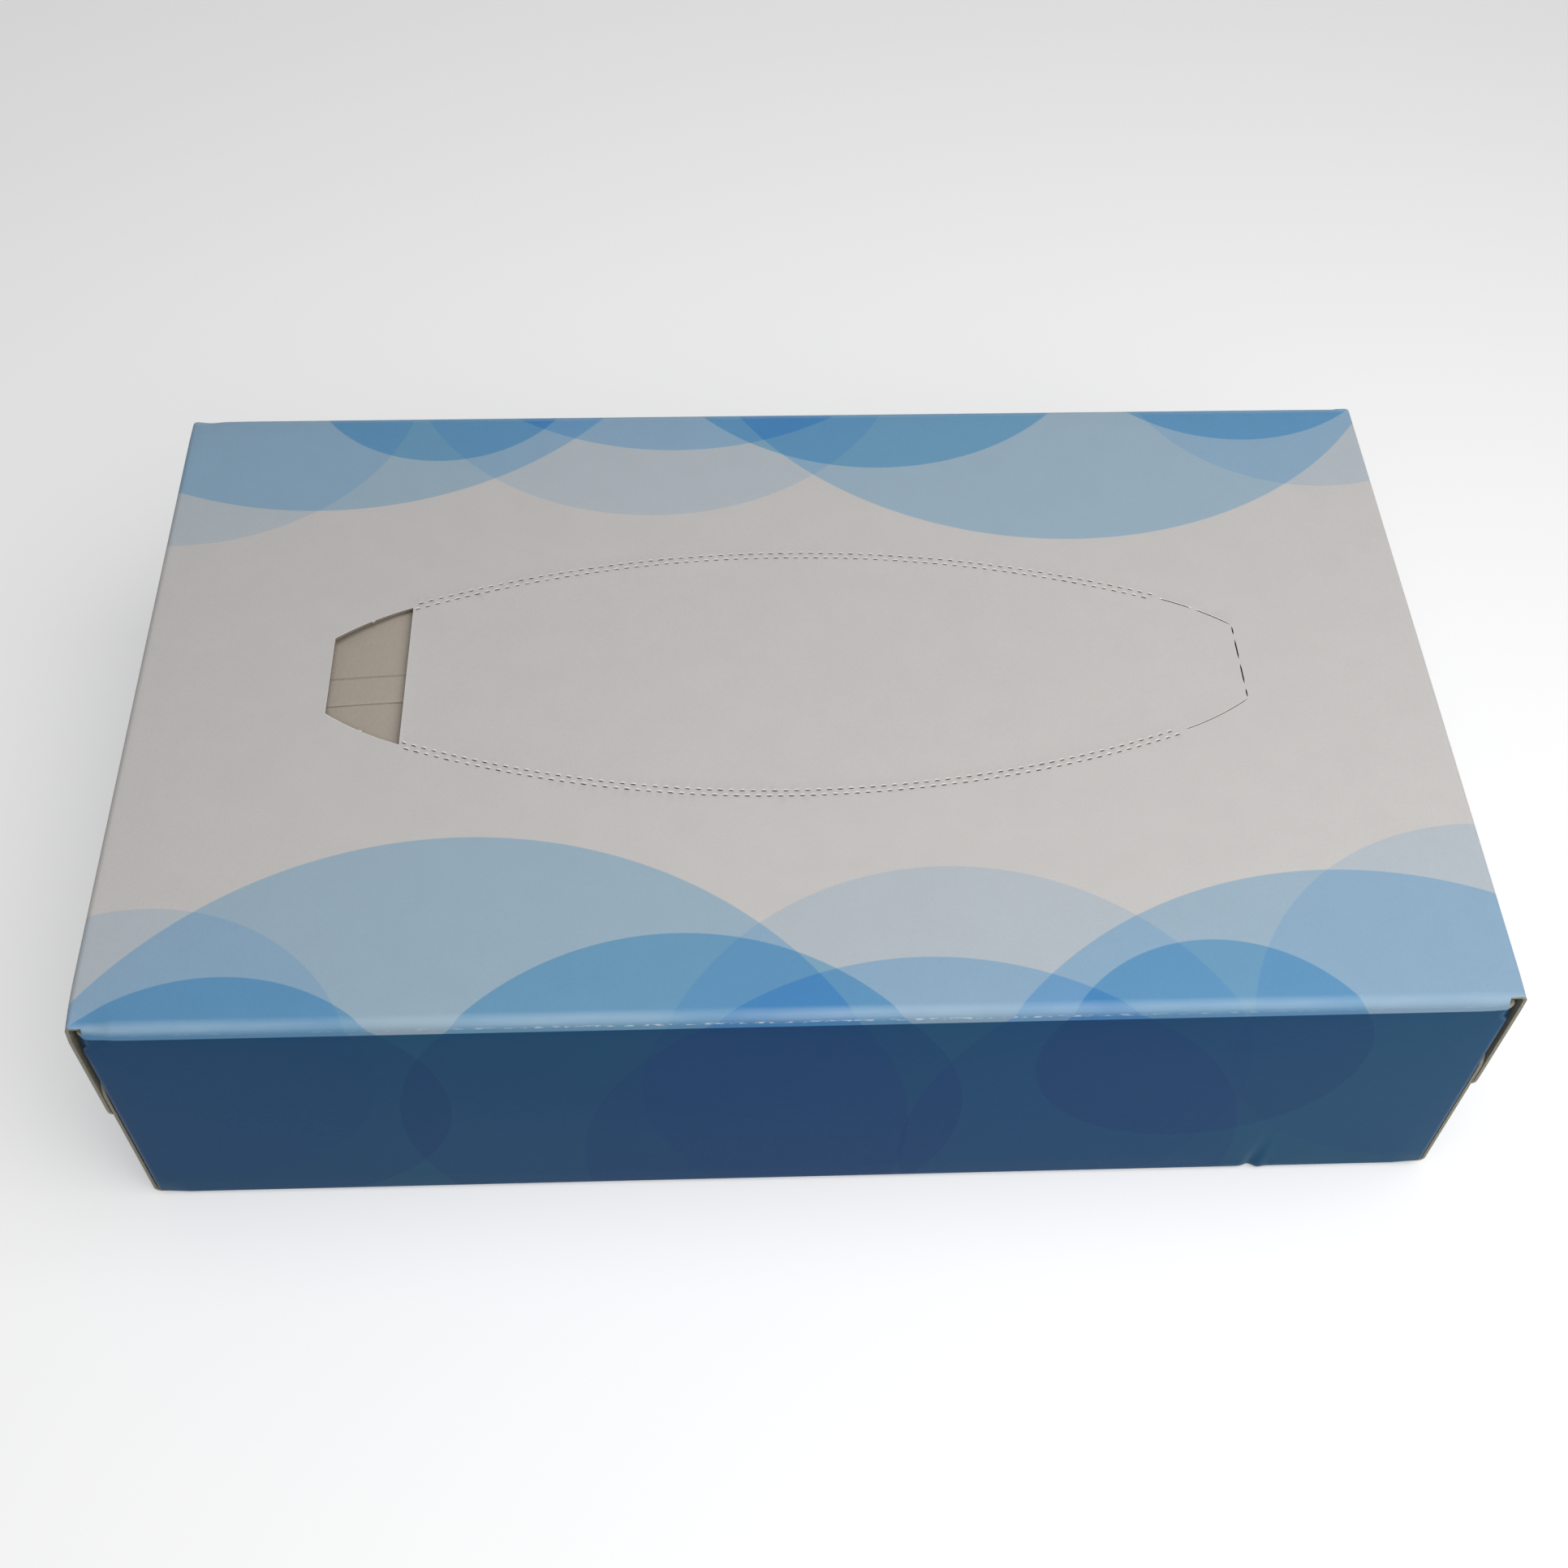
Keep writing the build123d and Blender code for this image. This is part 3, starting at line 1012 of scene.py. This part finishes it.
def buildFirstTissue():
    # the top half of the first tissue, and its leading edge turned back on itself
    low, high = firstLow, firstHigh
    sheet = tissues["sheet"]
    radius = tissues["hemHeight"] / 2
    hemTop = low.z + 2 * radius
    hemBack = low.y + tissues["hemDepth"]
    fineY = low.y + 14  # the sheet's mesh is finer from here to the turned edge
    ys = list(np.arange(high.y, fineY, -2.5)) + list(np.arange(fineY, low.y + radius, -0.6))
    line = [(y, low.z + sheet / 2) for y in ys]
    for step in range(7):
        angle = math.radians(270 - 30 * step)
        turn = radius - sheet / 2
        y, z = turn * math.cos(angle), turn * math.sin(angle)
        line.append((low.y + radius + y, low.z + radius + z))
    line += [(y, hemTop - sheet / 2) for y in np.arange(low.y + radius + 0.5, hemBack + 0.01, 0.5)]
    xs = list(np.arange(low.x, tissues["fineFrom"], 3.0))
    xs += list(np.arange(tissues["fineFrom"], tissues["fineTo"], 0.5))
    xs += list(np.arange(tissues["fineTo"], high.x, 3.0)) + [high.x]
    upper, lower = [], []
    for x in xs:
        top, under = [], []
        for number, (y, z) in enumerate(line):
            # the sheet's outward side at each point comes from its neighbours
            before, after = line[max(0, number - 1)], line[min(len(line) - 1, number + 1)]
            way = Vector((after[0] - before[0], after[1] - before[1])).normalized()
            out = Vector((way.y, -way.x))
            crepe = tissues["crepe"] * noise.noise(Vector((x / 2.2, y / 0.8, z * 4)))
            wave = 0.06 * noise.noise(Vector((x / 14, y / 9, 4))) + 0.05
            wave *= 1.0 if z > low.z + radius else 0.3
            wander = 0.35 * noise.noise(Vector((x / 25, 9, 1))) * (y < hemBack + 1)
            shift = tissues["hemShift"] * (y < high.y - 8)
            spot = Vector((x, y + wander + shift, z + crepe + wave - droop(x)))
            top.append(spot + Vector((0, out.x, out.y)) * sheet / 2)
            under.append(spot - Vector((0, out.x, out.y)) * sheet / 2)
        upper.append(top)
        lower.append(under)
    rows = [top + under[::-1] for top, under in zip(upper, lower)]
    n = len(rows[0])
    faces = []
    for r in range(len(rows) - 1):
        for c in range(n):
            d = (c + 1) % n
            faces.append((r * n + c, r * n + d, (r + 1) * n + d, (r + 1) * n + c))
    m = len(line)
    for r, flip in ((0, False), (len(rows) - 1, True)):
        for c in range(m - 1):
            quad = (r * n + c, r * n + n - 1 - c, r * n + n - 2 - c, r * n + c + 1)
            faces.append(quad[::-1] if flip else quad)
    return newPiece("firstTissue", [p for row in rows for p in row], faces)


packPiece = closedTube(packLoops(), "tissuePack")
packPiece.data.materials.append(tissueMaterial("tissueStack", tissues["stackTint"]))
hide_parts("tissue_pack")
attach(packPiece, "root")

firstPiece = buildFirstTissue()
firstPiece.data.materials.append(tissueMaterial("tissueSheet", tissues["sheetTint"]))
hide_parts("first_tissue")
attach(firstPiece, "root")
print("tissues laid")


# the glue beads keep their built shapes
def glueMaterial():
    material, shader = newMaterial("driedGlue")
    tree = material.node_tree
    place = placeInMm(tree)
    blotch = noiseAt(tree, place, 1.8, 3.0)
    patch = spread(tree, blotch, 0.3, 0.7, 0, 1)
    colour = mixColours(tree, "MIX", patch, (0.70, 0.62, 0.44), (0.84, 0.79, 0.66))
    tree.links.new(colour, shader.inputs["Base Color"])
    tree.links.new(spread(tree, blotch, 0.3, 0.7, 0.25, 0.5), shader.inputs["Roughness"])
    tree.links.new(bumped(tree, blotch, 0.1), shader.inputs["Normal"])
    return material


glue = glueMaterial()
for node in ("seam_glue", "left_end_glue", "right_end_glue"):
    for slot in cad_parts[node].material_slots:
        slot.material = glue
print("glue finished")


# floor, light and camera
stage = {
    "floor": (0.86, 0.86, 0.86),
    "floorLift": 0.34,  # added for the camera alone
    "world": 0.18,
    "keyPlace": (0.13, -0.15, 0.39),
    "keySize": 0.55,
    "keyPower": 1.6,
}


def seenOnly(tree):
    # 1 for rays that come from the eye, straight or by a mirror or glass
    rays = tree.nodes.new("ShaderNodeLightPath")
    seen = maths(tree, "MAXIMUM", rays.outputs["Is Camera Ray"], rays.outputs["Is Glossy Ray"])
    return maths(tree, "MAXIMUM", seen, rays.outputs["Is Transmission Ray"])


def buildFloor():
    mesh = bpy.data.meshes.new("floor")
    mesh.from_pydata([(-4, -4, 0), (4, -4, 0), (4, 4, 0), (-4, 4, 0)], [], [(0, 1, 2, 3)])
    floor = bpy.data.objects.new("floor", mesh)
    bpy.context.scene.collection.objects.link(floor)
    material, shader = newMaterial("paleFloor")
    shader.inputs["Base Color"].default_value = (*stage["floor"], 1)
    shader.inputs["Roughness"].default_value = 0.9
    shader.inputs["Specular IOR Level"].default_value = 0.1
    shader.inputs["Emission Color"].default_value = (1, 1, 1, 1)
    tree = material.node_tree
    lift = maths(tree, "MULTIPLY", seenOnly(tree), stage["floorLift"])
    tree.links.new(lift, shader.inputs["Emission Strength"])
    mesh.materials.append(material)


def lightWorld():
    world = bpy.data.worlds.new("studio")
    bpy.context.scene.world = world
    world.use_nodes = True
    tree = world.node_tree
    background = next(n for n in tree.nodes if n.type == "BACKGROUND")
    background.inputs["Color"].default_value = (1, 1, 1, 1)
    strength = spread(tree, seenOnly(tree), 0, 1, stage["world"], 1.0)
    tree.links.new(strength, background.inputs["Strength"])


def addSoftLight(name, place, size, power, aim=(0, 0, 0.03)):
    light = bpy.data.lights.new(name, "AREA")
    light.shape = "DISK"
    light.size = size
    light.energy = power
    lamp = bpy.data.objects.new(name, light)
    lamp.location = place
    lamp.rotation_euler = (Vector(aim) - Vector(place)).to_track_quat("-Z", "Y").to_euler()
    bpy.context.scene.collection.objects.link(lamp)


view = {
    "place": (-0.01158, -0.20322, 0.29455),
    "right": (0.9993, -0.03389, 0.01611),
    "forward": (0.03326, 0.60093, -0.79861),
    "lens": 44.72,
    "sensor": 36.0,
}


def addCamera():
    camera = bpy.data.cameras.new("camera")
    camera.lens = view["lens"]
    camera.sensor_width = view["sensor"]
    camera.clip_start = 0.01
    eye = bpy.data.objects.new("camera", camera)
    forward = Vector(view["forward"]).normalized()
    right = Vector(view["right"])
    right = (right - forward * right.dot(forward)).normalized()
    up = right.cross(forward)
    turn = Matrix((right, up, -forward)).transposed().to_4x4()
    eye.matrix_world = Matrix.Translation(view["place"]) @ turn
    bpy.context.scene.collection.objects.link(eye)
    bpy.context.scene.camera = eye


buildFloor()
lightWorld()
addSoftLight("key", stage["keyPlace"], stage["keySize"], stage["keyPower"])
addCamera()
bpy.context.scene.view_settings.view_transform = "Standard"
print("stage set")
